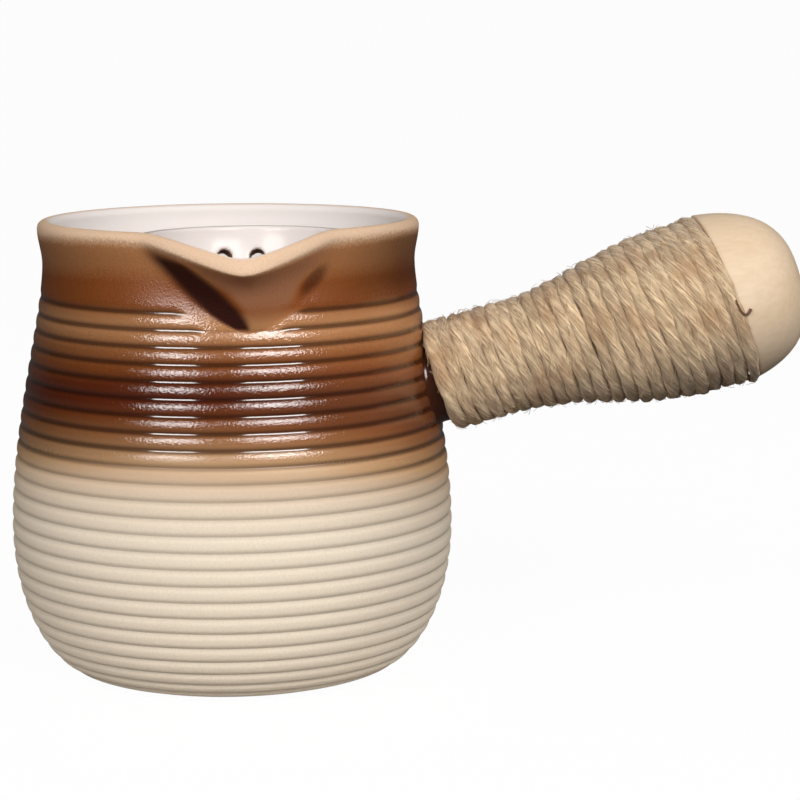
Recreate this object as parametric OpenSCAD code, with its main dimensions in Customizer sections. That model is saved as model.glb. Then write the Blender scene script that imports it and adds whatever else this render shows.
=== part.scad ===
// Side-handled stoneware teapot for the stovetop: an open ribbed pot with a pulled
// pouring lip, a pierced strainer bowl behind the lip, and a turned wooden handle
// glued into a clay socket and wound with jute twine.
// Millimetres, +Z up. The origin is the centre of the flat base, and the handle
// points along +X.

/* [Pot] */
// Widest outside diameter of the pot
body_d = 95; // [84:1:110]
// Height of the rim above the base
body_h = 97; // [90:1:115]
// Height at which the pot is widest
widest_z = 31; // [24:1:40]
// Diameter of the flat base
base_d = 62; // [50:1:72]
// Outside diameter of the neck, the narrowest place under the rim
neck_d = 79.5; // [74:0.5:84]
// Distance from the rim down to the neck
neck_drop = 9; // [6:0.5:14]
// Outside diameter of the rim
rim_d = 81.4; // [80:0.2:90]
// Thickness of the clay wall
wall = 3.4; // [2.6:0.1:4.4]
// Thickness of the clay under the floor
floor_t = 4; // [3:0.1:7]

/* [Throwing ribs] */
// Distance from the rim down to the first groove
ribs_drop = 16; // [12:0.5:30]
// Distance from groove to groove, along the wall
rib_pitch = 3.45; // [3:0.05:5]
// Depth of a groove
groove_depth = 0.6; // [0.3:0.05:1]

/* [Pouring lip] */
// Angle between the lip and the handle, seen from above
lip_angle = 78.5; // [70:0.5:100]
// Width of the lip where it leaves the rim
lip_w = 39; // [30:1:44]
// How far the lip's tip stands out past the rim
lip_reach = 9.3; // [6:0.1:12]
// How far the lip's tip lies below the rim
lip_drop = 4.7; // [3:0.1:9]
// Distance from the rim down to the foot of the lip's keel
lip_depth = 20; // [16:0.5:24]
// Radius of the keel at the tip
lip_keel_r = 3.5; // [3:0.25:5]
// Thickness of the lip's wall
lip_t = 2.6; // [2:0.1:3]

/* [Strainer] */
// Outside radius of the strainer bowl
strainer_r = 23; // [20:0.5:25]
// Thickness of the strainer bowl
strainer_t = 2.4; // [1.8:0.1:3]
// Distance from the pot's inner wall to the bowl's centre
strainer_inset = 7; // [5:0.5:9]
// Distance from the lip's line to the bowl's centre, towards the handle
strainer_shift = 1.9; // [0:0.1:4]
// Distance from the rim down to the bowl's edge
strainer_drop = 1.2; // [0.5:0.1:3]
// Diameter of a strainer hole
hole_d = 3; // [2.5:0.1:4]
// Rows of strainer holes
hole_rows = 3; // [1:1:3]
// Holes in the uppermost row
hole_count = 4; // [2:1:5]
// Angle from hole to hole, seen from the bowl's centre
hole_step = 20; // [16:1:24]
// Angle from the bowl's edge down to the uppermost row
hole_first = 17.5; // [14:0.5:24]

/* [Handle] */
// Height at which the handle's axis leaves the wall
handle_z = 62.6; // [52:0.2:68]
// Upward tilt of the handle
handle_tilt = 15.6; // [0:0.2:20]
// Length of the handle from the wall to its far end
handle_len = 80.5; // [70:0.1:95]
// Diameter of the socket and of the wooden stem that meets it
stem_d = 19.4; // [17:0.1:22]
// Diameter of the rounded end of the handle
knob_d = 38.2; // [34:0.2:42]
// Length of the rounded end, from its widest ring to its far end
dome_len = 28.6; // [22:0.2:34]
// How blunt the rounded end is, where 2 is an ellipse
dome_power = 2.75; // [2:0.05:3.5]
// Length of the straight stem past the socket, before it flares
stem_len = 2; // [0:0.5:8]
// Length of the even bed between the flare and the knob's shoulder
bed_len = 8.8; // [2:0.2:12]
// Distance from the knob's widest ring to the shoulder that ends the winding
shoulder_past = 12.1; // [6:0.1:16]
// Length of the clay socket from the wall
socket_len = 15; // [12:0.5:20]
// Thickness of the clay at the bottom of the socket
socket_floor = 3.5; // [2.5:0.1:5]
// Diameter of the wooden tenon
tenon_d = 10; // [8:0.1:12]
// Thickness of the glue round the tenon
glue_t = 0.5; // [0.3:0.05:1]

/* [Twine] */
// Diameter of the twine
twine_d = 2.1; // [1.8:0.05:2.6]
// Gap from turn to turn of the winding, before it leans
twine_gap = 0.55; // [0.55:0.05:1]
// Clearance between the winding and the handle under it
twine_clear = 0.3; // [0.2:0.05:0.5]
// Gap between the wall and the first turn
twine_root_gap = 1.15; // [1.15:0.05:3]
// Lean of the last turn and of the knob's shoulder
twine_lean = 6; // [0:0.2:8]

/* [Hidden] */

$fn = 96;
// Distance that a cutting solid runs past what it cuts
past = 10;
// Distance that the bed and the tenon run on inside the wood they join
wood_sink = 1;

body_r = body_d / 2;
base_r = base_d / 2;
neck_r = neck_d / 2;
rim_r = rim_d / 2;
neck_z = body_h - neck_drop;
rim_z = body_h - wall / 2;

// Stiffness of the shoulder curve where it leaves the widest ring and where it meets the neck
belly_pull = 22;
neck_pull = 10;

// Shape of one rib: places along its width at which the outline has a point
rib_places = [0, 0.07, 0.2, 0.5, 0.8, 0.93];
half_rib_places = [0, 0.07, 0.2];
// How sharp the grooves between the ribs are
groove_power = 3;

// A point at share t along a cubic curve
function cubic(p, t) =
    pow(1 - t, 3) * p[0] + 3 * pow(1 - t, 2) * t * p[1] + 3 * (1 - t) * t * t * p[2] + pow(t, 3) * p[3];
// A smooth step from 0 to 1
function ease(t) = let(c = min(max(t, 0), 1)) c * c * (3 - 2 * c);

// Mean outside line of the wall, [radius, height], from the base up to the rim:
// a quarter ellipse, a shoulder curve and a flare
belly_line = [for (a = [0 : 5 : 90])
    [base_r + (body_r - base_r) * sin(a), widest_z * (1 - cos(a))]];
shoulder_pulls = [[body_r, widest_z], [body_r, widest_z + belly_pull], [neck_r, neck_z - neck_pull],
    [neck_r, neck_z]];
shoulder_line = [for (t = [0.05 : 0.05 : 1]) cubic(shoulder_pulls, t)];
flare_line = [for (t = [0.125 : 0.125 : 1])
    [neck_r + (rim_r - neck_r) * ease(t), neck_z + (rim_z - neck_z) * t]];
mean_line = concat(belly_line, shoulder_line, flare_line);

// Length of the wall's line from the base to each of its points
line_s = [for (i = 0, s = 0; i < len(mean_line); i = i + 1,
    s = i < len(mean_line) ? s + norm(mean_line[i] - mean_line[i - 1]) : s) s];
line_len = line_s[len(line_s) - 1];
r_table = [for (i = [0 : len(mean_line) - 1]) [line_s[i], mean_line[i][0]]];
z_table = [for (i = [0 : len(mean_line) - 1]) [line_s[i], mean_line[i][1]]];
s_table = [for (i = [0 : len(mean_line) - 1]) [mean_line[i][1], line_s[i]]];

// Point of the wall's line at length s, its outward normal, and the same point moved along the normal
function line_at(s) = [lookup(s, r_table), lookup(s, z_table)];
function normal_at(s) =
    let(probe = 0.4, d = line_at(min(s + probe, line_len)) - line_at(max(s - probe, 0)))
    s < probe ? [0, -1] : s > line_len - probe ? [1, 0] : [d[1], -d[0]] / norm(d);
function moved_at(s, out) = line_at(s) + out * normal_at(s);
// Outside radius of the wall at height z
function wall_r(z) = lookup(lookup(z, s_table), r_table);

// Lengths of the line at which the ribbed outline has a point, from the base up to the rim.
// The ribs are counted from the top groove down.
ribs_top_s = lookup(body_h - ribs_drop, s_table);
rib_count = floor(ribs_top_s / rib_pitch);
ribs_low_s = ribs_top_s - rib_count * rib_pitch;
band_low_s = ribs_top_s + rib_pitch / 2;
band_steps = 8;
outline_s = concat(
    [for (k = [0 : rib_count - 1], u = rib_places) ribs_low_s + (k + u) * rib_pitch],
    [for (u = half_rib_places) ribs_top_s + u * rib_pitch],
    [for (i = [0 : band_steps]) band_low_s + (line_len - band_low_s) * i / band_steps]);
// Depth of the groove at length s
function groove_at(s) =
    let(u = (s - ribs_low_s) / rib_pitch, v = u - floor(u))
    s > band_low_s ? 0 : groove_depth * pow(abs(2 * v - 1), groove_power);

// Outside line with its ribs, the round rim and the wall's inside
inner_steps = 36;
rim_steps = 8;
outer_line = concat([[0, 0], [base_r, 0]], [for (s = outline_s) moved_at(s, -groove_at(s))]);
rim_line = [for (i = [1 : rim_steps - 1])
    let(a = 180 * i / rim_steps)
    [rim_r - wall / 2 + wall / 2 * cos(a), rim_z + wall / 2 * sin(a)]];
inner_line = [for (i = [0 : inner_steps])
    let(p = moved_at(line_len * i / inner_steps, -wall)) [p[0], max(p[1], floor_t)]];

// Round anchors of the lip, in the lip's own direction: the tip, the foot of the keel and
// the two sides, which are sunk in the wall
lip_root_r = wall / 2;
lip_sink = groove_depth + 0.2;
lip_half_a = asin(lip_w / 2 / rim_r);
lip_foot_z = body_h - lip_depth;
lip_tip = [rim_r + lip_reach - lip_keel_r, 0, body_h - lip_drop - lip_keel_r];
lip_foot = [wall_r(lip_foot_z) - lip_root_r - lip_sink, 0, lip_foot_z + lip_root_r];
lip_side = [rim_r - lip_root_r - lip_sink, 0, rim_z - lip_sink];
// The channel has the same tip and foot, moved in and up by the lip's thickness. Its sides
// only graze the top of the rim.
channel_shift = [-lip_t, 0, lip_t];
channel_graze = 0.3;
channel_side = [rim_r - lip_root_r, 0, body_h + lip_root_r - channel_graze];

// The strainer bowl's centre, in the lip's direction
strainer_x = neck_r - wall - strainer_inset;
strainer_z = body_h - strainer_drop;

// Where the handle's axis leaves the wall, and the socket's bore
handle_x = wall_r(handle_z);
stem_r = stem_d / 2;
knob_r = knob_d / 2;
knob_s = handle_len - dome_len;
shoulder_s = knob_s + shoulder_past;
bore_d = tenon_d + 2 * glue_t;
tenon_s = socket_floor + glue_t;

// Radius of the rounded end at a distance past its widest ring
function dome_r(past_ring) = knob_r * pow(1 - pow(past_ring / dome_len, dome_power), 1 / dome_power);

// Bed of the winding: it flares until the winding's outside is flush with the knob
bed_end_r = dome_r(shoulder_past) - twine_d - twine_clear;
flare_start = socket_len + stem_len;
flare_end = shoulder_s - bed_len;
function bed_r(s) = stem_r + (bed_end_r - stem_r) * ease((s - flare_start) / (flare_end - flare_start));

// Winding: one unbroken helix over the socket and the bed, with a straight end
// of one twine diameter at each side
twine_start = twine_root_gap + twine_d / 2;
twine_end = shoulder_s - twine_clear - twine_d / 2;
twine_span = twine_end - twine_start;
// The winding starts at the top of the handle and ends on the side where the lip is
start_a = 180;
end_turn = 0.25;
most_turns = 23;
twine_turns = min(most_turns, floor(twine_span / (twine_d + twine_gap) - end_turn)) + end_turn;
twine_pitch = twine_span / twine_turns;
loop_rings = 24;
twine_sides = 6;
function helix_at(n) =
    let(a = start_a + 360 * n / loop_rings, s = twine_start + twine_pitch * n / loop_rings,
        r = bed_r(s) + twine_clear + twine_d / 2)
    [r * cos(a), r * sin(a), s + r * cos(a) * tan(twine_lean) * s / shoulder_s];
helix_rings = round(twine_turns * loop_rings);
helix = [for (n = [0 : helix_rings]) helix_at(n)];
function unit(v) = v / norm(v);
helix_ends = [
    helix[0] - twine_d * unit(helix[1] - helix[0]),
    helix[helix_rings] + twine_d * unit(helix[helix_rings] - helix[helix_rings - 1])];
twine_route = concat([helix_ends[0]], helix, [helix_ends[1]]);

// Least gap of the winding to itself, from half a loop away onwards
near_rings = floor(loop_rings / 2);
far_rings = floor(loop_rings * 3 / 2);
twine_least_gap = min([for (i = [0 : len(twine_route) - 1 - near_rings],
    j = [i + near_rings : min(i + far_rings, len(twine_route) - 1)])
    norm(twine_route[i] - twine_route[j])]) - twine_d;
echo(twine_turns = twine_turns, twine_least_gap = twine_least_gap);

// A tube with triangular faces along a route of points that winds round +Z
module wound_tube(route, d, sides) {
    last = len(route) - 1;
    rings = [for (i = [0 : last])
        let(along = unit(route[min(i + 1, last)] - route[max(i - 1, 0)]),
            flat = [route[i][0], route[i][1], 0],
            out = unit(flat - (flat * along) * along),
            side = cross(along, out))
        [for (k = [0 : sides - 1])
            let(a = 360 * (k + 0.5) / sides) route[i] + d / 2 * (cos(a) * out + sin(a) * side)]];
    points = [for (ring = rings, p = ring) p];
    skin = [for (i = [0 : last - 1], k = [0 : sides - 1], half = [0, 1])
        let(a = i * sides + k, b = i * sides + (k + 1) % sides)
        half == 0 ? [a, b + sides, b] : [a, a + sides, b + sides]];
    start_cap = [for (k = [1 : sides - 2]) [0, k, k + 1]];
    end_cap = [for (k = [1 : sides - 2]) [last * sides, last * sides + k + 1, last * sides + k]];
    polyhedron(points, concat(skin, start_cap, end_cap));
}

// Everything that the outside of the wall encloses, without the lip
module wall_outside() {
    rotate_extrude() polygon(concat(outer_line, [[0, rim_z]]));
}

// The space inside the wall, running out past the rim
module cavity() {
    rotate_extrude() polygon(concat([[0, floor_t]], inner_line,
        [[rim_r - wall, body_h + past], [0, body_h + past]]));
}

// The thrown wall with its round rim
module wall_shell() {
    inner_down = [for (i = [inner_steps : -1 : 0]) inner_line[i]];
    rotate_extrude() polygon(concat(outer_line, rim_line, inner_down, [[0, floor_t]]));
}

// Turns what is drawn along +X to the lip's direction
module lip_frame() {
    rotate([0, 0, -lip_angle]) children();
}

// Round anchors at a tip, a foot and two sides
module lip_anchors(tip, foot, side) {
    translate(tip) sphere(lip_keel_r, $fn = 32);
    translate(foot) sphere(lip_root_r, $fn = 32);
    for (a = [-lip_half_a, lip_half_a]) rotate([0, 0, a]) translate(side) sphere(lip_root_r, $fn = 32);
}

module lip_outside() {
    lip_frame() hull() lip_anchors(lip_tip, lip_foot, lip_side);
}

module lip_channel() {
    lip_frame() hull() for (rise = [0, lip_depth]) translate([0, 0, rise])
        lip_anchors(lip_tip + channel_shift, lip_foot + channel_shift, channel_side);
}

// Puts what is drawn along +Z on the handle's axis, with zero at the wall
module handle_frame() {
    translate([handle_x, 0, handle_z]) rotate([0, 90 - handle_tilt, 0]) children();
}

module pot_body() {
    color("#c9a27c") difference() {
        union() {
            wall_shell();
            difference() {
                lip_outside();
                cavity();
            }
        }
        lip_channel();
    }
}

// Quarter-round bowl behind the lip, open at the top, with rows of holes square to its wall
module strainer() {
    color("#f4f0ea") intersection() {
        cavity();
        lip_frame() translate([strainer_x, strainer_shift, strainer_z]) difference() {
            sphere(strainer_r);
            sphere(strainer_r - strainer_t);
            translate([-2 * strainer_r, -2 * strainer_r, 0]) cube(4 * strainer_r);
            for (row = [0 : hole_rows - 1]) {
                count = hole_count + row % 2;
                for (i = [0 : count - 1])
                    rotate([0, 0, (i - (count - 1) / 2) * hole_step])
                        rotate([0, -90 - hole_first - row * hole_step, 0])
                            translate([0, 0, strainer_r - 2 * strainer_t])
                                cylinder(d = hole_d, h = 3 * strainer_t);
            }
        }
    }
}

// Hollow clay stub, luted to the ribs of the wall
module handle_socket() {
    color("#5a3320") difference() {
        handle_frame() translate([0, 0, -past]) cylinder(d = stem_d, h = past + socket_len);
        wall_outside();
        handle_frame() translate([0, 0, socket_floor]) cylinder(d = bore_d, h = socket_len);
    }
}

// Cured glue that fills the bore round the tenon
module tenon_glue() {
    color("#d8c48e") handle_frame() difference() {
        translate([0, 0, socket_floor]) cylinder(d = bore_d, h = socket_len - socket_floor);
        translate([0, 0, tenon_s]) cylinder(d = tenon_d, h = socket_len);
    }
}

// Turned handle: a tenon, a bed for the winding, and a round knob with a leaning shoulder
module wooden_handle() {
    bed_steps = 24;
    bed_end = shoulder_s + knob_r * sin(twine_lean) + wood_sink;
    bed_line = [for (i = [0 : bed_steps])
        let(s = socket_len + (bed_end - socket_len) * i / bed_steps) [bed_r(s), s]];
    dome_steps = 24;
    dome_line = [for (i = [0 : dome_steps - 1])
        let(out = dome_len * pow(sin(90 * i / dome_steps), 2 / dome_power)) [dome_r(out), knob_s + out]];
    color("#e3c79f") handle_frame() union() {
        translate([0, 0, tenon_s]) cylinder(d = tenon_d, h = socket_len - tenon_s + stem_len + wood_sink);
        rotate_extrude() polygon(concat([[0, socket_len]], bed_line, [[0, bed_end]]));
        difference() {
            rotate_extrude() polygon(concat([[0, knob_s]], dome_line, [[0, handle_len]]));
            translate([0, 0, shoulder_s]) rotate([0, -twine_lean, 0])
                translate([-knob_d, -knob_d, -2 * knob_d]) cube(2 * knob_d);
        }
    }
}

// One unbroken length of twine, wound from the wall to the knob's shoulder
module twine_winding() {
    color("#b08c62") handle_frame() wound_tube(twine_route, twine_d, twine_sides);
}

pot_body();
strainer();
handle_socket();
tenon_glue();
wooden_handle();
twine_winding();
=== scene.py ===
"""Looks of a side-handled stoneware teapot: a ribbed pot with a pulled lip, a pierced strainer, a clay
socket, a turned wooden handle and its winding of jute twine. Metres, +Z up, base centre at the origin."""

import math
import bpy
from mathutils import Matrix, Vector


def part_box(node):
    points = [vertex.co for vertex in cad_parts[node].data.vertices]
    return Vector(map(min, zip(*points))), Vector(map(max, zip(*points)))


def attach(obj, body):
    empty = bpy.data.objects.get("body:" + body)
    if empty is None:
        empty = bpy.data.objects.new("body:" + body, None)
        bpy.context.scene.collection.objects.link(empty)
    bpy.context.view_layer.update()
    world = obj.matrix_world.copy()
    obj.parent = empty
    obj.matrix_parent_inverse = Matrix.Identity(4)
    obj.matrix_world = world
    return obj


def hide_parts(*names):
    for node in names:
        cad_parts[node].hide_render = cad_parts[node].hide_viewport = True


bl_info = {
    "name": "Side-handled stoneware teapot",
    "version": (1, 0, 0),
    "blender": (4, 5, 0),
    "location": "3D View > Sidebar > Teapot",
    "description": "Makes the pot, strainer, socket, handle, twine and stage of a stovetop teapot",
    "category": "Object",
}

from functools import partial

import bpy
import numpy as np
from bpy.props import FloatProperty, FloatVectorProperty, IntProperty, PointerProperty
from bpy.types import Operator, Panel, PropertyGroup
from mathutils import Matrix, Vector

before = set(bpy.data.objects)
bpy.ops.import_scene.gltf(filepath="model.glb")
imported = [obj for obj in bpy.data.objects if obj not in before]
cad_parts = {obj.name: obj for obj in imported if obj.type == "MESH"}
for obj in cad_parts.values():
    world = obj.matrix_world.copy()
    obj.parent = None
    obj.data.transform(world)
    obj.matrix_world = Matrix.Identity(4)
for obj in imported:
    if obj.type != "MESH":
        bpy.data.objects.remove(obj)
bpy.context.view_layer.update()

MM = 0.001
FAMILIES = ("ShaderNode", "GeometryNode", "FunctionNode", "")  # what the name of a kind of node starts with
TWINE_STEPS = 130  # points to a turn of twine
PLIES = 3  # plies of the twine
FIBRES = 900000.0  # loose fibres to a square metre of twine, at most
FOCAL = 118.35  # millimetres, for a picture 36 mm wide
CAMERA_AT = (80.4, -557.4, 142.5)  # millimetres
CAMERA_SIDE, CAMERA_DIP, CAMERA_ROLL = 4.5, 8.63, 0.37  # degrees
POT_MIDDLE = (0.01, 0, 0.06)  # metres, where the lamps aim
LAMP_AWAY, LAMP_HIGH = 1.1, 0.36  # metres
# Lamps: degrees to the camera's right and above the table, width in metres, watts
SOFT_LAMPS = (("right_softbox", 28, 30, 0.58, 7.9), ("left_softbox", -31, 30, 0.45, 6.3),
              ("right_card", 80, 26, 0.7, 2.0))
STRIP_LAMPS = (("right_strip", 28, 22, 0.62, 11.5), ("left_strip", -28, 15, 0.44, 7.6))
# Glaze by the share of the pot's height: two colours and the share of the second
DIP_STOPS = (
    (0, "clay", "fade", 0), (0.36, "clay", "fade", 0), (0.425, "clay", "fade", 0.22),
    (0.46, "clay", "fade", 0.5), (0.5, "clay", "fade", 1), (0.53, "fade", "umber", 0.42),
    (0.56, "fade", "umber", 0.8), (0.6, "umber", "deep", 0.5), (0.63, "umber", "deep", 1),
    (0.66, "umber", "deep", 0.9), (0.69, "umber", "deep", 0.2), (0.73, "umber", "honey", 0.3),
    (0.765, "umber", "honey", 1), (0.79, "umber", "honey", 1), (0.82, "umber", "honey", 0),
    (0.865, "umber", "honey", 0), (0.9, "umber", "honey", 0.6), (0.935, "umber", "honey", 0.8),
    (0.945, "honey", "crest", 0.35), (0.955, "honey", "crest", 1), (1, "honey", "crest", 1))
POT_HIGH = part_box("pot_body")[1]


def linear(hex_code):
    """Linear red, green and blue of an sRGB hex colour."""
    parts = [int(hex_code[i:i + 2], 16) / 255 for i in (1, 3, 5)]
    return [c / 12.92 if c <= 0.04045 else ((c + 0.055) / 1.055) ** 2.4 for c in parts]


def length(name, millimetres, description):
    """A size that a user may change, given in millimetres and kept in metres."""
    return FloatProperty(name=name, description=description, default=millimetres * MM, min=0, precision=5,
            unit="LENGTH")


def degrees(name, angle, description):
    """An angle that a user may change, given in degrees and kept in radians."""
    return FloatProperty(name=name, description=description, default=math.radians(angle), subtype="ANGLE")


def colour(name, hex_code, description):
    """A colour that a user may change, given as sRGB hex and kept linear."""
    return FloatVectorProperty(name=name, description=description, default=linear(hex_code), size=3, min=0,
            max=1, subtype="COLOR")


class TeapotPot(PropertyGroup):
    """Sizes of the thrown pot and its lip."""
    body_d: length("Belly diameter", 95, "Widest outside diameter of the pot")
    body_h: length("Height", POT_HIGH.z / MM, "Height of the rim above the base")
    widest_z: length("Belly height", 31, "Height at which the pot is widest")
    base_d: length("Base diameter", 62, "Diameter of the flat base")
    neck_d: length("Neck diameter", 79.5, "Outside diameter of the narrowest place under the rim")
    neck_drop: length("Neck drop", 9, "Distance from the rim down to the neck")
    rim_d: length("Rim diameter", 81.4, "Outside diameter of the rim")
    wall: length("Wall", 3.4, "Thickness of the clay wall")
    floor_t: length("Floor", 4, "Thickness of the clay under the floor")
    ribs_drop: length("Ribs drop", 16, "Distance from the rim down to the first groove")
    rib_pitch: length("Rib pitch", 3.45, "Distance from groove to groove, along the wall")
    groove_depth: length("Groove depth", 0.72, "Depth of a groove between two ribs, before glaze rounds it")
    groove_power: FloatProperty(name="Groove sharpness", description="How narrow the grooves are",
            default=3.0)
    lip_angle: degrees("Lip angle", -78.5, "Direction of the lip, seen from above, from the handle")
    lip_w: length("Lip width", 39, "Width of the lip where it leaves the rim")
    lip_reach: length("Lip reach", 9.3, "How far the lip's tip stands out past the rim")
    lip_drop: length("Lip drop", 4.7, "How far the lip's tip lies below the rim")
    lip_depth: length("Lip depth", 20, "Distance from the rim down to the foot of the keel")
    lip_keel_r: length("Keel radius", 2.7, "Roundness of the keel at the tip")
    lip_lean: degrees("Lip lean", 42, "How far the rim's round edge turns outwards at the tip")
    lip_skew: degrees("Lip skew", 2.0, "How far the keel's foot lies to the handle's side of its tip")


class TeapotStrainer(PropertyGroup):
    """Sizes of the pierced bowl behind the lip."""
    radius: length("Bowl radius", 23, "Outside radius of the bowl")
    thickness: length("Bowl thickness", 2.4, "Thickness of the bowl's clay")
    inset: length("Inset", 7, "Distance from the pot's inner wall to the bowl's centre")
    shift: length("Shift", 1.9, "Distance from the lip's line to the bowl's centre, towards the handle")
    drop: length("Drop", 1.2, "Distance from the rim down to the bowl's edge")
    hole_d: length("Hole diameter", 3, "Diameter of a strainer hole")
    hole_rows: IntProperty(name="Rows of holes", description="Rows of holes below the edge", default=3, min=1)
    hole_count: IntProperty(name="Holes in a row", description="Holes in the uppermost row", default=4, min=1)
    hole_step: degrees("Hole step", 20, "Angle from hole to hole, seen from the bowl's centre")
    hole_first: degrees("First row", 17.5, "Angle from the bowl's edge down to the uppermost row")


class TeapotHandle(PropertyGroup):
    """Sizes of the clay socket and the turned handle."""
    root_z: length("Root height", 62.6, "Height at which the handle's axis leaves the wall")
    tilt: degrees("Tilt", 15.6, "Upward tilt of the handle")
    reach: length("Length", 80.5, "Length from the wall to the far end")
    stem_d: length("Stem diameter", 19.4, "Diameter of the socket and of the stem that meets it")
    knob_d: length("Knob diameter", 38.2, "Widest diameter of the round end")
    dome_len: length("Dome length", 28.6, "Length of the round end, from its widest ring")
    dome_power: FloatProperty(name="Dome bluntness",
            description="How blunt the round end is; 2 is an ellipse", default=2.75, min=2)
    stem_len: length("Stem length", 2, "Straight stem past the socket, before the flare")
    bed_len: length("Bed length", 8.8, "Even bed between the flare and the shoulder")
    shoulder_past: length("Shoulder", 12.1, "Distance from the knob's widest ring to the shoulder")
    socket_len: length("Socket length", 15, "Length of the clay socket from the wall")
    socket_floor: length("Socket floor", 3.5, "Clay at the bottom of the socket")
    fillet: length("Socket fillet", 1.3, "Roundness where the socket was luted to the wall")
    tenon_d: length("Tenon diameter", 10, "Diameter of the wooden tenon")
    glue_t: length("Glue", 0.5, "Thickness of the glue round the tenon")


class TeapotTwine(PropertyGroup):
    """Sizes of the jute twine and its winding."""
    thickness: length("Thickness", 3.6, "Width of the twine, touching turn to turn")
    height: length("Height", 2.4, "Height of the twine over its bed, pressed flat by the winding")
    bed_d: length("Laid thickness", 2.1, "Thickness of the pressed core that the winding is spaced by")
    clear: length("Clearance", 0.3, "Clearance between the winding and its bed")
    root_gap: length("Root gap", 1.15, "Gap between the wall and the first turn")
    lean: degrees("Lean", 6, "Lean of the last turn and of the knob's shoulder, seen from the lip")
    front: degrees("Forward lean", 8, "Lean of the last turn and of the shoulder, seen from above")
    turns: FloatProperty(name="Turns", description="Turns of the winding", default=22.25, min=1)
    lay: length("Lay", 27, "Length in which the plies turn once round the twine")
    fibre: length("Fibre length", 4.2, "Usual length of a loose fibre")
    seed: IntProperty(name="Seed", description="Picks how the hand-laid turns and fibres wander", default=7)


class TeapotColours(PropertyGroup):
    """Colours of the finishes."""
    clay: colour("Bare clay", "#e8d8c2", "Sand-coloured stoneware")
    fade: colour("Glaze fade", "#c49b70", "Thin glaze that fades into the clay")
    deep: colour("Deep glaze", "#58220d", "Thick glaze on the belly's upper ribs")
    honey: colour("Honey glaze", "#ae794f", "Thinner glaze on the upper ribs and the neck")
    umber: colour("Umber glaze", "#7f441c", "Glaze under the neck")
    crest: colour("Rim", "#dfbd9e", "Glaze worn thin on the rim")
    white: colour("White glaze", "#e9e0db", "Glaze inside the pot and on the strainer")
    socket: colour("Socket glaze", "#522a17", "Glaze that ran over the clay socket")
    beech: colour("Beech", "#e6ceb1", "Sanded wood of the handle")
    beech_dark: colour("Beech grain", "#d3b28c", "Late wood and rays in the grain")
    # Jute is the twine's own pale colour; the dark jute gives darker streaks, the cut end, and painted shade
    # between the plies
    jute: colour("Jute", "#f0d4ac", "Sunlit side of the twine")
    jute_dark: colour("Jute hollows", "#77553a", "Hollows between the plies of the twine")
    fibre: colour("Loose fibre", "#f0d9b4", "Single fibres that stand off the twine")
    glue: colour("Wood glue", "#d8c48e", "Cured glue round the tenon")
    paper: colour("Studio paper", "#c2c0be", "Light that floor and backdrop throw back on the pot")


GROUPS = (TeapotPot, TeapotStrainer, TeapotHandle, TeapotTwine, TeapotColours)


def ease(t):
    """A smooth step from 0 to 1."""
    c = np.clip(t, 0, 1)
    return c * c * (3 - 2 * c)


def bezier(points, t):
    """Points at shares t along a cubic curve."""
    p = np.array(points)
    t = t[:, None]
    return (1 - t) ** 3 * p[0] + 3 * (1 - t) ** 2 * t * p[1] + 3 * (1 - t) * t * t * p[2] + t ** 3 * p[3]


class WallLine:
    """Mean outside line of the thrown wall, from the base up to the rim, by its length."""

    def __init__(self, pot):
        body_r, base_r, neck_r, rim_r = pot.body_d / 2, pot.base_d / 2, pot.neck_d / 2, pot.rim_d / 2
        neck_z = pot.body_h - pot.neck_drop
        self.rim_z = pot.body_h - pot.wall / 2
        turn = np.radians(np.linspace(0, 90, 181))
        belly = np.stack([base_r + (body_r - base_r) * np.sin(turn), pot.widest_z * (1 - np.cos(turn))], 1)
        share = np.linspace(0, 1, 201)[1:]
        belly_pull, neck_pull = 22 * MM, 10 * MM
        shoulder = bezier([(body_r, pot.widest_z), (body_r, pot.widest_z + belly_pull),
                           (neck_r, neck_z - neck_pull), (neck_r, neck_z)], share)
        flare = np.stack([neck_r + (rim_r - neck_r) * ease(share), neck_z + (self.rim_z - neck_z) * share], 1)
        points = np.concatenate([belly, shoulder, flare])
        steps = np.linalg.norm(np.diff(points, axis=0), axis=1)
        self.s = np.concatenate([[0], np.cumsum(steps)])
        self.r, self.z = points.T
        self.full = self.s[-1]

    def at(self, s, out=0):
        """Radius and height at length s, moved outwards."""
        probe = 0.2 * MM
        before, after = np.maximum(s - probe, 0), np.minimum(s + probe, self.full)
        dr = np.interp(after, self.s, self.r) - np.interp(before, self.s, self.r)
        dz = np.interp(after, self.s, self.z) - np.interp(before, self.s, self.z)
        size = np.hypot(dr, dz)
        r, z = np.interp(s, self.s, self.r), np.interp(s, self.s, self.z)
        return r + out * dz / size, z - out * dr / size

    def radius(self, z):
        """Outside radius at height z."""
        return np.interp(z, self.z, self.r)


def lip_way(pot):
    """The lip's direction, seen from above."""
    return Vector((math.cos(pot.lip_angle), math.sin(pot.lip_angle), 0))


def handle_matrix(pot, handle):
    """Puts what is drawn along +Z on the handle's axis, with zero at the wall."""
    root = (float(WallLine(pot).radius(handle.root_z)), 0, handle.root_z)
    return Matrix.Translation(root) @ Matrix.Rotation(math.pi / 2 - handle.tilt, 4, "Y")


def bed_radius(handle, twine, s):
    """Radius of the bed that the twine is wound on, at distance s from the wall."""
    stem_r = handle.stem_d / 2
    end_r = dome_radius(handle, shoulder_at(handle)) - twine.bed_d - twine.clear
    start = handle.socket_len + handle.stem_len
    end = shoulder_at(handle) - handle.bed_len
    return stem_r + (end_r - stem_r) * ease((s - start) / (end - start))


def lean_slope(twine, a):
    """Slope with which the last turn and the knob's shoulder lean, by the angle round the handle."""
    return np.cos(a) * math.tan(twine.lean) - np.sin(a) * math.tan(twine.front)


def shoulder_at(handle):
    """Distance from the wall to the shoulder that ends the winding."""
    return handle.reach - handle.dome_len + handle.shoulder_past


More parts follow.
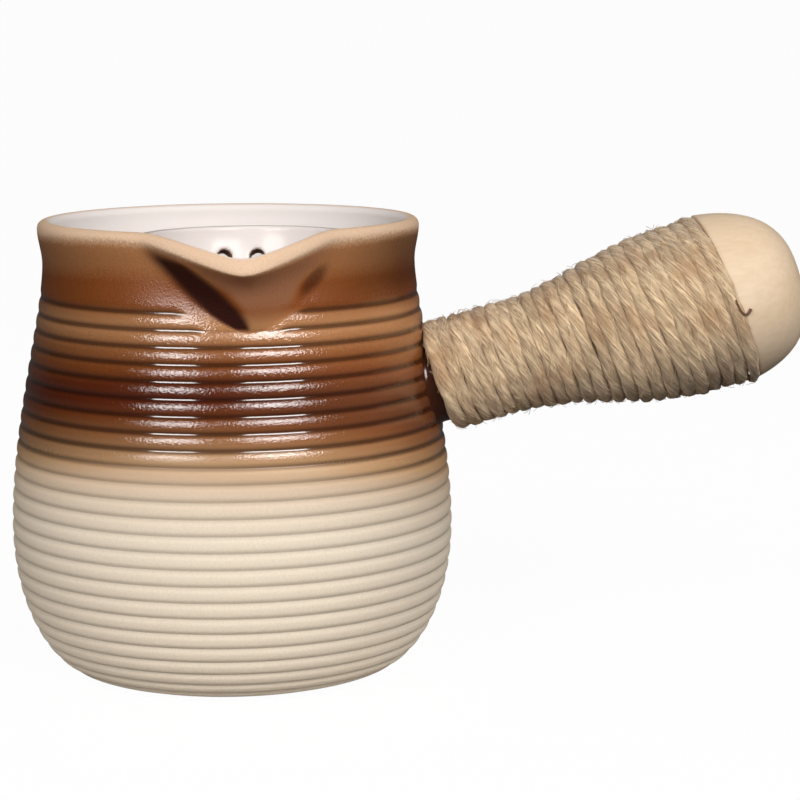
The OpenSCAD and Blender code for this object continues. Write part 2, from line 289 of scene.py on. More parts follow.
def dome_radius(handle, s):
    """Radius of the blunt round end at distance s from the wall."""
    share = np.maximum(s - handle.reach + handle.dome_len, 0) / handle.dome_len
    return handle.knob_d / 2 * (1 - share ** handle.dome_power) ** (1 / handle.dome_power)


def keep_values(mesh, name, values):
    """Keeps one value to each point of a mesh."""
    mesh.attributes.new(name, "FLOAT", "POINT").data.foreach_set("value", values.astype(np.float32))


def vectors(items, name):
    """The vectors of points or of normals, as rows."""
    flat = np.empty(len(items) * 3, np.float32)
    items.foreach_get(name, flat)
    return flat.reshape(-1, 3)


def skin(name, rings, start, end, layers=None):
    """A closed mesh through rings of points, with a pole at each end and layers of one value to a point."""
    rows, columns = rings.shape[:2]
    points = np.concatenate([rings.reshape(-1, 3), [start], [end]])
    near = np.arange(rows * columns).reshape(rows, columns)
    far = np.roll(near, -1, axis=1)
    quads = np.stack([near[:-1], far[:-1], far[1:], near[1:]], -1).reshape(-1, 4).tolist()
    first = np.full(columns, rows * columns)
    fans = [np.stack([first, far[0], near[0]], 1), np.stack([first + 1, near[-1], far[-1]], 1)]
    mesh = bpy.data.meshes.new(name)
    mesh.from_pydata(points.tolist(), [], quads + np.concatenate(fans).tolist())
    for layer, values in (layers or {}).items():
        ends = [values[0].mean(), values[-1].mean()]
        keep_values(mesh, layer, np.concatenate([values.reshape(-1), ends]))
    mesh.shade_smooth()
    return mesh


def polar(r, a, z):
    """Points at radius r, angle a and height z."""
    return np.stack([r * np.cos(a), r * np.sin(a), z], -1)


def turned(profile, columns):
    """Rings of points round +Z through a profile of (radius, height)."""
    a = np.arange(columns) * 2 * math.pi / columns
    r, z = np.array(profile).T
    return polar(r[:, None], a, np.repeat(z[:, None], columns, 1))


def settle(item, **settings):
    """Gives an item its settings."""
    for name, value in settings.items():
        setattr(item, name, value)
    return item


def add(tree, kind, inputs=(), stops=(), **settings):
    """Adds a node, or takes one, with its settings; fills its inputs by name or number, or links them to a
    socket or to the first output in use of another node; sets a ramp's stops."""
    if isinstance(kind, str):
        kind = tree.nodes.new(next(family + kind for family in FAMILIES if hasattr(bpy.types, family + kind)))
    settle(kind, **settings)
    for name, value in inputs.items() if isinstance(inputs, dict) else enumerate(inputs):
        socket = kind.inputs[name]
        if isinstance(value, bpy.types.Node):
            value = next(output for output in value.outputs if output.enabled)
        if isinstance(value, bpy.types.NodeSocket):
            tree.links.new(value, socket)
        else:
            socket.default_value = (*value, 1) if socket.type == "RGBA" else value
    for place, stop in stops:
        known = [e for e in kind.color_ramp.elements if abs(e.position - place) < 1e-6]
        element = known[0] if known else kind.color_ramp.elements.new(place)
        element.color = (*stop, 1)
    return kind


def finish_tree(name):
    """An empty procedural material, what adds nodes to it, and its main shader."""
    material = bpy.data.materials.new(name)
    material.use_nodes = True
    tree = material.node_tree
    return material, partial(add, tree), tree.nodes["Principled BSDF"]


def between(first, second, share):
    """A colour between two others."""
    return [a + (b - a) * share for a, b in zip(first, second)]


def dipped_stoneware(colours):
    """Stoneware dipped rim down in brown glaze: glossy and deep where the glaze is thick, breaking light on
    the ribs' crests and the rim, running out into bare, matt, sandy clay, with white glaze inside, and with
    painted light and shade across the pot, in the lip's crease and in the bare grooves."""
    material, node, shader = finish_tree("dipped_stoneware")
    place = node("TexCoord").outputs["Object"]
    height, groove, inside, thick = (node("Attribute", attribute_name=name).outputs["Fac"]
                                     for name in ("height", "groove", "inside", "thick"))
    # Sand in the clay is about 0.45 mm; the dip line wanders over 30 mm
    sand, wander = (node("TexNoise", {"Vector": place, "Scale": 1 / (size * MM), "Detail": detail})
                    for size, detail in ((0.45, 2), (30, 1)))
    shift = node("Math", [wander, 2 * MM, -1 * MM], operation="MULTIPLY_ADD")
    grain = node("Math", [sand, 1.6 * MM, shift], operation="MULTIPLY_ADD")
    level = node("Math", [grain, height], operation="ADD")
    share = node("MapRange", [level, 0.8 * MM, 100.8 * MM])
    stops = [(at, between(getattr(colours, first), getattr(colours, second), part))
             for at, first, second, part in DIP_STOPS]
    dip = node("ValToRGB", [share], stops)
    glaze = node("MapRange", [share, 0.46, 0.54], interpolation_type="SMOOTHSTEP")
    # Painted light and shade across the pot: the belly is lighter on the handle's side and darker on the far
    # side, and the neck is darker on the far side, lighter beside the lip and painted darker again towards
    # the handle.
    # The glaze is worn off the rim
    apart = node("SeparateXYZ", [place])
    belly, worn, side, belly_side_light, neck, shaded = (node("MapRange", values) for values in (
        [share, 0.79, 0.85, 1, 0], [share, 0.935, 0.955, 1, 0], [apart, 0, 40 * MM, 0, 0.75],
        [apart, -36 * MM, 36 * MM, 0.74, 1.22], [apart, -36 * MM, 14 * MM, 0.76, 1.45],
        [apart, 18 * MM, 38 * MM, 1, 0.34]))
    side, neck, coated = (node("Math", pair, operation="MULTIPLY")
                          for pair in ([side, belly], [neck, shaded], [glaze, worn]))
    # Painted light lifts the belly's darkest glaze on the handle's side
    even = node("Mix", {0: side, 6: dip, 7: linear("#72452a")}, data_type="RGBA", blend_type="LIGHTEN")
    # Painted shade and light by the place across the pot, one ramp on the belly and another on the neck
    layer = node("Mix", {0: belly, 2: neck, 3: belly_side_light})
    tone = node("Mix", {0: coated, 6: even, 7: layer}, data_type="RGBA", blend_type="MULTIPLY")
    # The lip's face was wiped thin, and glaze ran together in its crease, which also gets painted shade.
    # Glaze pools dark in the grooves, and bare grooves get a little painted shade
    wiped, run, deep_in_groove, groove_pool_and_shade = (node("MapRange", values) for values in (
        [thick, 0, -1], [thick], [groove, 0.08, 0.5], [glaze, 0, 1, 0.22, 0.72]))
    # In glaze this darkening of the grooves is pooled glaze; in bare clay it is painted shade
    groove_pool_and_shade = node("Math", [deep_in_groove, groove_pool_and_shade], operation="MULTIPLY")
    for part, hex_code in ((wiped, "#a97250"), (run, "#34120a"), (groove_pool_and_shade, "#240d06")):
        tone = node("Mix", {0: part, 6: tone, 7: linear(hex_code)}, data_type="RGBA")
    # Sand shows as faint specks in clay and glaze
    speck = node("MapRange", [sand, 0.3, 0.7, 0.95, 1.04])
    tone = node("Mix", {0: 1, 6: tone, 7: speck}, data_type="RGBA", blend_type="MULTIPLY")
    tone = node("Mix", {0: inside, 6: tone, 7: colours.white}, data_type="RGBA")
    # Glossy glaze, but satin inside, on the worn rim and on the plain neck, where it ran thin
    gloss = node("Math", [glaze, inside], operation="MAXIMUM")
    rough, *duller = (node("MapRange", values) for values in (
        [gloss, 0, 1, 0.85, 0.1], [worn, 0, 1, 0.35, 0], [belly, 0, 1, 0.2, 0], [inside, 0, 1, 0, 0.4]))
    for more in duller:
        rough = node("Math", [rough, more], operation="ADD")
    # Glaze is pimpled by the sand on the crests of the ribs, and levels itself in the grooves
    sandy, pimpled, outer, sheen = (node("MapRange", values) for values in (
        [groove, 0.1, 0.4, 1, 0], [glaze, 0, 1, 0.2, 1], [inside, 0, 1, 1, 0], [belly, 0, 1, 0.25, 0.7]))
    for part in (pimpled, outer):
        sandy = node("Math", [sandy, part], operation="MULTIPLY")
    hazy = node("Math", [sandy, 0.05, rough], operation="MULTIPLY_ADD")
    bump = node("Bump", {"Strength": sandy, "Distance": 0.09 * MM, "Height": sand})
    node(shader, {"Base Color": tone, "Roughness": hazy, "Normal": bump, "Specular IOR Level": sheen})
    return material


def white_glaze(colours):
    """Glossy white glaze: fired smooth, softly uneven in tone, with brown clay bare in the drilled holes,
    darkened there with painted shade.
    """
    material, node, shader = finish_tree("white_glaze")
    place = node("TexCoord").outputs["Object"]
    cloud = node("TexNoise", {"Vector": place, "Scale": 1 / (9 * MM), "Detail": 2.0})
    tone = node("Mix", {0: cloud, 6: colours.white, 7: linear("#dacfca")}, data_type="RGBA")
    bore = node("Attribute", attribute_name="bore").outputs["Fac"]
    # Dark bare clay in the holes, with painted shade
    drilled = node("Mix", {0: bore, 6: tone, 7: linear("#5a3d2e")}, data_type="RGBA")
    ripple = node("TexNoise", {"Vector": place, "Scale": 1 / (3 * MM)})
    bump = node("Bump", {"Strength": 0.25, "Distance": 0.1 * MM, "Height": ripple})
    node(shader, {"Base Color": drilled, "Normal": bump, "Roughness": 0.22, "Specular IOR Level": 0.2})
    return material


def brown_glaze(colours):
    """Brown gloss glaze that ran over the luted socket: thick, wet-looking, darker and lighter in runs."""
    material, node, shader = finish_tree("brown_glaze")
    place = node("TexCoord").outputs["Object"]
    runs = node("TexNoise", {"Vector": place, "Scale": 1 / (4 * MM), "Detail": 3.0})
    tone = node("Mix", {0: runs, 6: linear("#34180d"), 7: colours.socket}, data_type="RGBA")
    bump = node("Bump", {"Strength": 0.4, "Distance": 0.15 * MM, "Height": runs})
    node(shader, {"Base Color": tone, "Normal": bump, "Roughness": 0.14, "Specular IOR Level": 0.4})
    return material


def turned_beech(colours, along):
    """Beech, turned, sanded and lightly waxed: pale, even, with fine straight grain along the handle and the
    short dashes of its rays, satin in the light."""
    material, node, shader = finish_tree("turned_beech")
    place = node("TexCoord").outputs["Object"]
    place = node("Mapping", {"Vector": place, "Rotation": along})
    # Grain 0.9 mm wide and 25 mm long, rays 0.45 mm wide and 3 mm long, year rings 7 mm wide and 90 mm long
    patterns = []
    for wide, long, detail in ((0.9, 25, 3), (0.45, 3, 1), (7, 90, 1)):
        scale = (1 / (wide * MM), 1 / (wide * MM), 1 / (long * MM))
        drawn = node("Mapping", {"Vector": place, "Scale": scale})
        patterns.append(node("TexNoise", {"Vector": drawn, "Scale": 1, "Detail": detail}))
    grain, rays, years = patterns
    lines, dashes, rings, rough = (node("MapRange", values) for values in (
        [grain, 0.35, 0.75, 0, 0.3], [rays, 0.66, 0.78, 0, 0.35], [years, 0.35, 0.65, 0, 0.3],
        [grain, 0, 1, 0.52, 0.66]))
    most = node("Math", [lines, dashes], operation="MAXIMUM")
    shade = node("Math", [most, rings], operation="ADD", use_clamp=True)
    tone = node("Mix", {0: shade, 6: colours.beech, 7: colours.beech_dark}, data_type="RGBA")
    bump = node("Bump", {"Strength": 0.15, "Distance": 0.05 * MM, "Height": grain})
    node(shader, {"Base Color": tone, "Roughness": rough, "Normal": bump, "Specular IOR Level": 0.3})
    return material


def jute_twine(colours):
    """Jute twine, spun and plied: dry, dull straw-brown bast fibres that run along each ply, with painted
    shade that leaves the plies' backs paler and darkens the hollows between them."""
    material, node, shader = finish_tree("jute_twine")
    along, around = (node("Attribute", attribute_name=name).outputs["Fac"] for name in ("along", "around"))
    turn = node("Math", [around, 2 * math.pi], operation="MULTIPLY")
    across = node("Math", [turn], operation="COSINE")
    up = node("Math", [turn], operation="SINE")
    # Bundles of fibres about 0.3 mm wide and 4 mm long; single fibres are too fine to show
    run = node("Math", [along, 1 / (16 * MM)], operation="MULTIPLY")
    place = node("CombineXYZ", [across, up, run])
    bundles = node("TexNoise", {"Vector": place, "Scale": 5.0, "Detail": 4.0, "Roughness": 0.65})
    slow = node("Math", [along, 1 / (22 * MM)], operation="MULTIPLY")
    patches = node("TexNoise", {"W": slow, "Scale": 1.0, "Detail": 3.0}, noise_dimensions="1D")
    # Painted shade in the hollows between the plies
    lobe = node("Math", [turn, PLIES], operation="MULTIPLY")
    lobes = node("Math", [lobe], operation="COSINE")
    ply_hollow_shade = node("MapRange", [lobes, 0.0, -1.0, 0.0, 0.5])
    streak = node("MapRange", [bundles, 0.36, 0.6, 0.85, 0.0])
    dark = node("Math", [ply_hollow_shade, streak], operation="MAXIMUM")
    tone = node("Mix", {0: dark, 6: colours.jute, 7: colours.jute_dark}, data_type="RGBA")
    # Browner stains, about 9 mm wide, go over several turns
    spot = node("TexCoord").outputs["Object"]
    stains = node("TexNoise", {"Vector": spot, "Scale": 1 / (9 * MM), "Detail": 3.0})
    stained = node("MapRange", [stains, 0.48, 0.68, 0.0, 0.55])
    tone = node("Mix", {0: stained, 6: tone, 7: linear("#a3774f")}, data_type="RGBA")
    warm = node("MapRange", [patches, 0.3, 0.7, 0.84, 1.14])
    spun = node("Mix", {0: 1.0, 6: tone, 7: warm}, data_type="RGBA", blend_type="MULTIPLY")
    bump = node("Bump", {"Strength": 0.9, "Distance": 0.25 * MM, "Height": bundles})
    node(shader, {"Base Color": spun, "Normal": bump, "Roughness": 0.9, "Specular IOR Level": 0.2,
            "Sheen Weight": 0.25, "Sheen Roughness": 0.6})
    return material


def cut_jute(colours):
    """The cut end of the twine: the same bast, in a darker brown than the winding."""
    material, node, shader = finish_tree("cut_jute")
    along, around = (node("Attribute", attribute_name=name).outputs["Fac"] for name in ("along", "around"))
    # Strands about 0.4 mm wide and 2 mm long
    strand = node("Math", [along, 1 / (2 * MM)], operation="MULTIPLY")
    ring = node("Math", [around, 8.0], operation="MULTIPLY")
    place = node("CombineXYZ", [ring, strand])
    fray = node("TexNoise", {"Vector": place, "Scale": 1.0, "Detail": 2.0})
    tone = node("Mix", {0: fray, 6: linear("#6f4d33"), 7: colours.jute_dark}, data_type="RGBA")
    bump = node("Bump", {"Strength": 0.6, "Distance": 0.15 * MM, "Height": fray})
    node(shader, {"Base Color": tone, "Normal": bump, "Roughness": 0.8})
    return material


def jute_fibre(colours):
    """Loose jute fibres: thin, dry and pale, each a little lighter or browner than the next."""
    material, node, shader = finish_tree("jute_fibre")
    shade = node("Attribute", attribute_name="fibre_shade").outputs["Fac"]
    tone = node("Mix", {0: shade, 6: colours.fibre, 7: linear("#a9865f")}, data_type="RGBA")
    node(shader, {"Base Color": tone, "Roughness": 0.7, "Specular IOR Level": 0.3})
    return material


def wood_glue(colours):
    """Cured wood glue in the socket: dull, cloudy amber."""
    material, node, shader = finish_tree("wood_glue")
    place = node("TexCoord").outputs["Object"]
    cloud = node("TexNoise", {"Vector": place, "Scale": 1 / (2 * MM), "Detail": 2.0})
    tone = node("Mix", {0: cloud, 6: colours.glue, 7: linear("#b79a5c")}, data_type="RGBA")
    node(shader, {"Base Color": tone, "Roughness": 0.6})
    return material


def studio_paper(colours):
    """Pale studio paper: matt, near white to the camera, with the object's shadow left on it."""
    material, node, _ = finish_tree("studio_paper")
    material.node_tree.nodes.clear()
    rays = node("LightPath").outputs
    seen = node("Math", [rays["Is Camera Ray"], rays["Is Transmission Ray"]], operation="MAXIMUM")
    gloss = node("Math", [rays["Is Glossy Ray"], 0.05], operation="MULTIPLY")
    shown = node("Math", [seen, gloss], operation="MAXIMUM")
    share = node("Math", [shown, 0.97], operation="MULTIPLY")
    # White to the camera; what it throws back on the pot is palest under it, and greyer further off
    place = node("TexCoord").outputs["Object"]
    beside = node("VectorMath", [place, (18 * MM, 10 * MM, 0)], operation="ADD")
    far = node("VectorMath", [beside], operation="LENGTH")
    fall = node("MapRange", [far, 50 * MM, 170 * MM], interpolation_type="SMOOTHSTEP")
    tone = node("Mix", {0: fall, 6: colours.paper, 7: linear("#343231")}, data_type="RGBA")
    mirrored = node("Mix", {0: rays["Is Glossy Ray"], 6: tone, 7: linear("#3a3632")}, data_type="RGBA")
    pale = node("Mix", {0: rays["Is Camera Ray"], 6: mirrored, 7: (1, 1, 1)}, data_type="RGBA")
    paper = node("BsdfDiffuse", {"Color": pale})
    glow = node("Emission", {"Color": (1, 1, 1), "Strength": 1.0})
    mixed = node("MixShader", [share, paper, glow])
    node("OutputMaterial", {"Surface": mixed})
    return material


def node_group(name, *sizes):
    """An empty Geometry Nodes tree with named sizes, what adds nodes to it, and its input sockets."""
    tree = bpy.data.node_groups.new(name, "GeometryNodeTree")
    tree.interface.new_socket("Geometry", in_out="INPUT", socket_type="NodeSocketGeometry")
    for label in sizes:
        kind = "NodeSocketInt" if label == "Seed" else "NodeSocketFloat"
        tree.interface.new_socket(label, in_out="INPUT", socket_type=kind)
    tree.interface.new_socket("Geometry", in_out="OUTPUT", socket_type="NodeSocketGeometry")
    node = partial(add, tree)
    return tree, node, node("NodeGroupInput").outputs


def close_group(tree, geometry, material):
    """Ends a tree in plain geometry with its material."""
    plain = add(tree, "RealizeInstances", {"Geometry": geometry})
    dressed = add(tree, "SetMaterial", {"Geometry": plain, "Material": material})
    add(tree, "NodeGroupOutput", {"Geometry": dressed})
    return tree


def shown_object(name, data):
    """An object of the scene at the origin."""
    made = bpy.data.objects.new(name, data)
    bpy.context.scene.collection.objects.link(made)
    return made


def grown(start, tree, values):
    """The plain mesh that a tree makes of an object; the object and its modifiers go."""
    modifier = start.modifiers.new(tree.name, "NODES")
    modifier.node_group = tree
    for socket in tree.interface.items_tree:
        if socket.in_out == "INPUT" and socket.name in values:
            modifier[socket.identifier] = values[socket.name]
    return baked(start)


def baked(start):
    """The plain mesh of an object with its modifiers applied; the object goes."""
    bpy.context.view_layer.update()
    graph = bpy.context.evaluated_depsgraph_get()
    mesh = bpy.data.meshes.new_from_object(start.evaluated_get(graph), preserve_all_data_layers=True,
            depsgraph=graph)
    bpy.data.objects.remove(start)
    if not mesh.polygons:
        raise RuntimeError("a piece came out empty")
    return mesh


def piece(name, mesh, slot, *nodes):
    """A finished piece that rides on the pot and stands for its solids."""
    made = shown_object(name, mesh)
    mesh.name = name
    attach(made, "root")
    if nodes:
        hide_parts(*nodes)
    return made


def outer_rows(pot, line):
    """Lengths of the outside line at which the pot has a row, with its place in the rib and ribbed share."""
    top = np.interp(pot.body_h - pot.ribs_drop, line.z, line.s)
    count = int(top // pot.rib_pitch)
    low = top - count * pot.rib_pitch
    places = np.array([0, 0.025, 0.055, 0.1, 0.17, 0.27, 0.38, 0.5, 0.62, 0.73, 0.83, 0.9, 0.945, 0.975])
    below = low + (places[places > 1 - low / pot.rib_pitch + 0.05] - 1) * pot.rib_pitch
    ribs = (low + (np.arange(count)[:, None] + places) * pot.rib_pitch).reshape(-1)
    half = top + places[places < 0.5] * pot.rib_pitch
    band = np.linspace(top + pot.rib_pitch / 2, line.full, 24)
    s = np.concatenate([[0], below, ribs, half, band])
    place = np.mod((s - low) / pot.rib_pitch, 1)
    ribbed = ease(s / (2 * MM)) * (s < top + pot.rib_pitch / 2 - 1e-9)
    return s, place, ribbed


def pot_rows(pot, line):
    """Rows of the pot's skin from the base's centre over the rim to the floor's centre:
    radius, height, place in the rib, ribbed share and white share."""
    s, place, ribbed = outer_rows(pot, line)
    outer_r, outer_z = line.at(s)
    outer_z[0] = 0
    base_r = np.array([0.2, 0.45, 0.7, 0.9]) * pot.base_d / 2
    turn = np.radians(np.linspace(0, 180, 19)[1:-1])
    rim_r = pot.rim_d / 2 - pot.wall / 2 + pot.wall / 2 * np.cos(turn)
    rim_z = line.rim_z + pot.wall / 2 * np.sin(turn)
    # Inside, the rows lie closer together behind the lip
    down = np.concatenate([np.linspace(line.full, line.full - 26 * MM, 30),
                           np.linspace(line.full - 28 * MM, 0, 40)])
    inner_r, inner_z = line.at(down, -pot.wall)
    inner_z = np.maximum(inner_z, pot.floor_t)
    floor_r = np.array([0.85, 0.6, 0.35, 0.15]) * inner_r[-1]
    parts = ((base_r, base_r * 0, 0.5, 0, 0), (outer_r, outer_z, place, ribbed, 0),
            (rim_r, rim_z, 0.5, 0, ease((turn - math.radians(85)) / math.radians(50))),
            (inner_r, inner_z, 0.5, 0, 1), (floor_r, floor_r * 0 + pot.floor_t, 0.5, 0, 1))
    return [np.concatenate([np.broadcast_to(part[i], part[0].shape) for part in parts]) for i in range(5)]


def lip_columns():
    """Angles from the lip's direction at which the pot has a column, close together at the keel."""
    side = np.concatenate([np.arange(0.3, 9, 0.6), np.arange(9.2, 36, 1.0), np.linspace(37.5, 178.5, 45)])
    return np.radians(np.concatenate([-side[::-1], side]))


def lip_shares(pot, line, z, a):
    """Share of the way up the lip, place across it from -1 at one crease over 0 at the keel to 1 at the
    other, and share of the way from the creases in to the keel."""
    foot_z = pot.body_h - pot.lip_depth
    up = np.clip((z - foot_z) / (line.rim_z - foot_z), 1e-6, 1)
    off = a - pot.lip_skew * (1 - up)
    x = off / (math.asin(pot.lip_w / pot.rim_d) * up ** np.where(off < 0, 0.65, 0.55))
    k = pot.lip_keel_r * pot.lip_reach * 1.8 / (pot.lip_w / 2) ** 2 * (1 + 1.6 * (1 - up))
    inward = 1 - (np.hypot(x, k) - k) / (np.hypot(1, k) - k)
    # The creases are soft, as fingers leave them
    return up, x, (inward + np.hypot(inward, 0.12)) / 2 * ease((1.7 - np.abs(x)) / 0.6)


def pulled(pot, line, r, z, a):
    """Moves points of the thrown wall, by angle from the lip, out and down into the pulled lip."""
    up, _, near = lip_shares(pot, line, z, a)
    # The wall leans out with the lip, so its round edge turns towards the pourer
    off = np.clip(r - line.radius(np.minimum(z, line.rim_z)) + pot.wall / 2, -pot.wall / 2, pot.wall / 2)
    lean = pot.lip_lean * up ** 4 * near
    out = pot.lip_reach * up ** 1.1 * near ** 1.05 - off * (1 - np.cos(lean))
    return r + out, z - pot.lip_drop * up ** 2 * near ** 1.5 - off * np.sin(lean)


def thick_glaze(pot, line, z, a):
    """Share of thick glaze, which ran together in the crease of the lip away from the handle, with painted
    shade in that crease, less the share of thin glaze on the lip's wiped face."""
    up, x, _ = lip_shares(pot, line, z, a)
    # The band is thick glaze with painted shade in the crease away from the handle; the drop is a run in the
    # other crease
    band = ease((-x - 0.66 * up + 0.04) / 0.36 + 0.5) * ease((1.15 + x) / 0.25)
    band = band * ease((1 - up) / 0.2) * ease(up / 0.06)
    drop = 0.65 * ease(1.5 - 1.5 * np.hypot((x - 0.98) / 0.26, (up - 0.55) / 0.24))
    face = ease((1.05 - np.abs(x)) / 0.4) * ease((up - 0.1) / 0.35) * ease((0.96 - up) / 0.1)
    return np.maximum(band, drop) - face * (1 - np.maximum(band, drop))


def ribs_left(pot, line, z, a):
    """Share of the ribs that is left beside the lip, where they were wiped away."""
    foot_z = pot.body_h - pot.lip_depth
    t = np.clip((z - foot_z) / (line.rim_z - foot_z), 0, 1)
    side = np.abs(a) * line.radius(z) - pot.lip_w / 2 * t ** 0.9
    wiped, soft = 9 * MM, 4 * MM
    return np.maximum(ease((side - wiped) / soft + 1), ease((foot_z - z) / pot.rib_pitch + 0.5))


def groove_shape(pot, place, filled):
    """Depth of the grooves by the place in the rib, from 0 on the crest: narrow in bare clay, wide and round
    where glaze fills them, and always steeper on the edge of the rib below."""
    gap = (1 - np.abs(2 * place - 1)) * np.where(place > 0.5, 1.15, 0.9)
    narrow = np.maximum(1 - np.hypot(gap, 0.12), 0) ** pot.groove_power
    wide = np.maximum(1 - np.hypot(gap, 0.4), 0) ** 2
    return narrow + (wide - narrow) * filled


def throwing_ribs(material):
    """Tree that presses the grooves between the throwing ribs into a wall, along its normals."""
    tree, node, given = node_group("throwing_ribs", "Groove depth")
    groove = node("InputNamedAttribute", {"Name": "press"}, data_type="FLOAT")
    deep = node("Math", [groove, given["Groove depth"]], operation="MULTIPLY")
    inward = node("Math", [deep, -1.0], operation="MULTIPLY")
    normal = node("InputNormal")
    offset = node("VectorMath", {0: normal, "Scale": inward}, operation="SCALE")
    pressed = node("SetPosition", {"Geometry": given["Geometry"], "Offset": offset})
    return close_group(tree, pressed, material)


class TEAPOT_OT_throw_pot(Operator):
    """Throws the ribbed pot with its round rim and pulls its lip"""
    bl_idname = "teapot.throw_pot"
    bl_label = "Throw the pot"

    def execute(self, context):
        pot = context.scene.teapot_pot
        line = WallLine(pot)
        r, z, place, ribbed, white = pot_rows(pot, line)
        a = lip_columns()
        rows_r, rows_z = pulled(pot, line, r[:, None], z[:, None], a)
        rings = polar(rows_r, a + pot.lip_angle, rows_z)
        ones = np.ones_like(a)
        fill_from, fill_over = 46 * MM, 9 * MM
        filled = ease((z - fill_from) / fill_over)
        left = ribs_left(pot, line, z[:, None], a)
        outside = 1 - white[:, None]
        # The dip line lies a little higher under the lip than at the sides
        dip = (4.4 * np.sin(a) ** 2 + 2.4 * np.sin(a) - 0.6) * MM * ease((78 * MM - z[:, None]) / (15 * MM))
        layers = {"inside": white[:, None] * ones, "height": z[:, None] + dip,
                "groove": (groove_shape(pot, place, 0) * ribbed)[:, None] * left,
                "press": (groove_shape(pot, place, filled) * ribbed)[:, None] * left,
                # thick: the glaze run with painted shade in the lip's crease, less the lip's wiped face
                "thick": outside * thick_glaze(pot, line, z[:, None], a)}
        mesh = skin("pot_skin", rings, (0, 0, 0), (0, 0, pot.floor_t), layers)
        tree = throwing_ribs(dipped_stoneware(context.scene.teapot_colours))
        mesh = grown(shown_object("pot_skin", mesh), tree, {"Groove depth": pot.groove_depth})
        piece("stoneware_pot", mesh, "stoneware", "pot_body")
        return {"FINISHED"}


def strainer_holes(strainer, centre, material, cavity):
    """Tree that fits the bowl to the pot's inside and pierces it with rows of holes that slope down."""
    sizes = ("Hole diameter", "Bowl radius", "Hole step", "First row", "Inwards")
    tree, node, given = node_group("strainer_holes", *sizes)
    half = node("Math", [given["Hole diameter"], 0.5], operation="MULTIPLY")
    drill = node("MeshCylinder", {"Vertices": 28, "Radius": half, "Depth": 12 * MM})
    drills = node("JoinGeometry")
    for row in range(strainer.hole_rows):
        count = strainer.hole_count + row % 2
        points = node("Points", {"Count": count})
        index = node("InputIndex")
        side = node("Math", [index, -(count - 1) / 2], operation="ADD")
        turn = node("Math", [side, given["Hole step"], given["Inwards"]], operation="MULTIPLY_ADD")
        dip = node("Math", [given["Hole step"], float(row), given["First row"]], operation="MULTIPLY_ADD")
        swing = node("EulerToRotation", [node("CombineXYZ", {1: dip, 2: turn})])
        way = node("RotateVector", {"Vector": (1, 0, 0), "Rotation": swing})
        out = node("VectorMath", {0: way, "Scale": given["Bowl radius"]}, operation="SCALE")
        at = node("VectorMath", [out, tuple(centre)], operation="ADD")
        placed = node("SetPosition", {"Geometry": points, "Position": at})
        sloped = node("VectorMath", [way, (0, 0, -0.35)], operation="ADD")
        aim = node("AlignRotationToVector", {"Vector": sloped}, axis="Z")
        row_drills = {"Points": placed, "Instance": drill, "Rotation": aim}
        node(drills, [node("InstanceOnPoints", row_drills)])
    solid = node("RealizeInstances", {"Geometry": drills})
    space = node("GeometryNodeObjectInfo", {"Object": cavity}).outputs["Geometry"]
    fitted = node("MeshBoolean", operation="INTERSECT", solver="EXACT")
    for shape in (given["Geometry"], space):
        node(fitted, {"Mesh 2": shape})
    pierced = node("MeshBoolean", {"Mesh 1": fitted, "Mesh 2": solid}, operation="DIFFERENCE", solver="EXACT")
    return close_group(tree, pierced, material)


class TEAPOT_OT_pierce_strainer(Operator):
    """Makes the pierced bowl behind the lip, with edges that the glaze has rounded"""
    bl_idname = "teapot.pierce_strainer"
    bl_label = "Pierce the strainer"

    def execute(self, context):
        pot, strainer = context.scene.teapot_pot, context.scene.teapot_strainer
        line = WallLine(pot)
        way = lip_way(pot)
        aside = Vector((-way.y, way.x, 0))
        centre = way * (pot.neck_d / 2 - pot.wall - strainer.inset) + aside * strainer.shift
        centre.z = pot.body_h - strainer.drop
        dip = np.radians(np.linspace(-88, 0, 40))
        inner = strainer.radius - strainer.thickness
        profile = np.concatenate([r * np.stack([np.cos(bend), np.sin(bend)], 1)
                                  for r, bend in ((strainer.radius, dip), (inner, dip[::-1]))])
        poles = [centre - Vector((0, 0, r)) for r in (strainer.radius, inner)]
        bowl = skin("strainer_bowl", turned(profile, 96) + np.array(centre), *poles)
        # The bowl is set a little into the wall, so that no seam of light shows beside it
        down = np.linspace(0, line.full, 60)
        space_r, space_z = line.at(down, 0.4 * MM - pot.wall)
        column = np.stack([space_r, np.maximum(space_z, pot.floor_t)], 1)
        above = pot.body_h + 5 * MM
        column = np.concatenate([column, [[column[-1][0], above]]])
        space = skin("pot_space", turned(column, 128), (0, 0, pot.floor_t), (0, 0, above))
        cavity = shown_object("pot_space", space)
        finish = white_glaze(context.scene.teapot_colours)
        tree = strainer_holes(strainer, centre, finish, cavity)
        sizes = {"Hole diameter": strainer.hole_d, "Bowl radius": inner, "Hole step": strainer.hole_step,
                 "First row": strainer.hole_first, "Inwards": pot.lip_angle + math.pi}
        rough = grown(shown_object("strainer_bowl", bowl), tree, sizes)
        bpy.data.objects.remove(cavity)
        soft = shown_object("strainer_soft", rough)
        settle(soft.modifiers.new("glaze_skin", "REMESH"), mode="VOXEL", voxel_size=0.4 * MM)
        settle(soft.modifiers.new("glaze_flow", "SMOOTH"), factor=0.5, iterations=6)
        mesh = baked(soft)
        mesh.materials.clear()
        mesh.materials.append(finish)
        mesh.shade_smooth()
        # Inside the holes the surface turns away from the bowl's round; those walls get dark bare clay with
        # painted shade
        way = vectors(mesh.vertices, "co") - np.array(centre)
        normal = vectors(mesh.vertex_normals, "vector")
        facing = np.abs((way * normal).sum(1)) / np.linalg.norm(way, axis=1)
        keep_values(mesh, "bore", ease((0.93 - facing) / 0.25) * (way[:, 2] < -3 * MM))
        piece("strainer_bowl", mesh, "white_glaze", "strainer")
        return {"FINISHED"}


